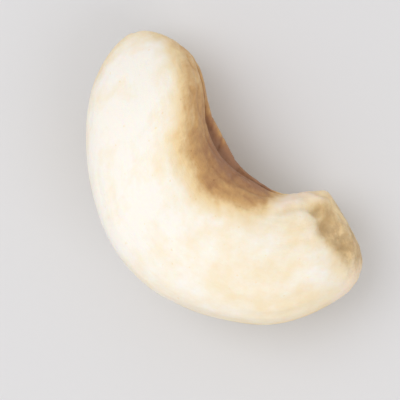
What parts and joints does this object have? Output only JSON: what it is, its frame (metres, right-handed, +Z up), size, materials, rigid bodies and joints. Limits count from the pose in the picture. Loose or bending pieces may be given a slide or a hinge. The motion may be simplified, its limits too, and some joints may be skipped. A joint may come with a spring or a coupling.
{
  "type": "roasted cashew nut",
  "caption": "Whole roasted cashew kernel: a thick ivory crescent with a fine seam and a small germ tip, lying on its flank.",
  "frame": {"origin": "middle of the kernel's bounding box, at table height, with the kernel lying on its flank as it comes to rest", "axes": "+X along the crescent's longest extent, towards the end with the germ's tip; +Y out of the hollow of the crescent, away from its rounded back; +Z up, along its thickness, square to the seam between its two halves"},
  "size_m": [0.028, 0.0162, 0.0118],
  "materials": {
    "roasted_flesh": "satin"
  },
  "bodies": {
    "root": {"kernel": "roasted_flesh"}
  },
  "joints": []
}
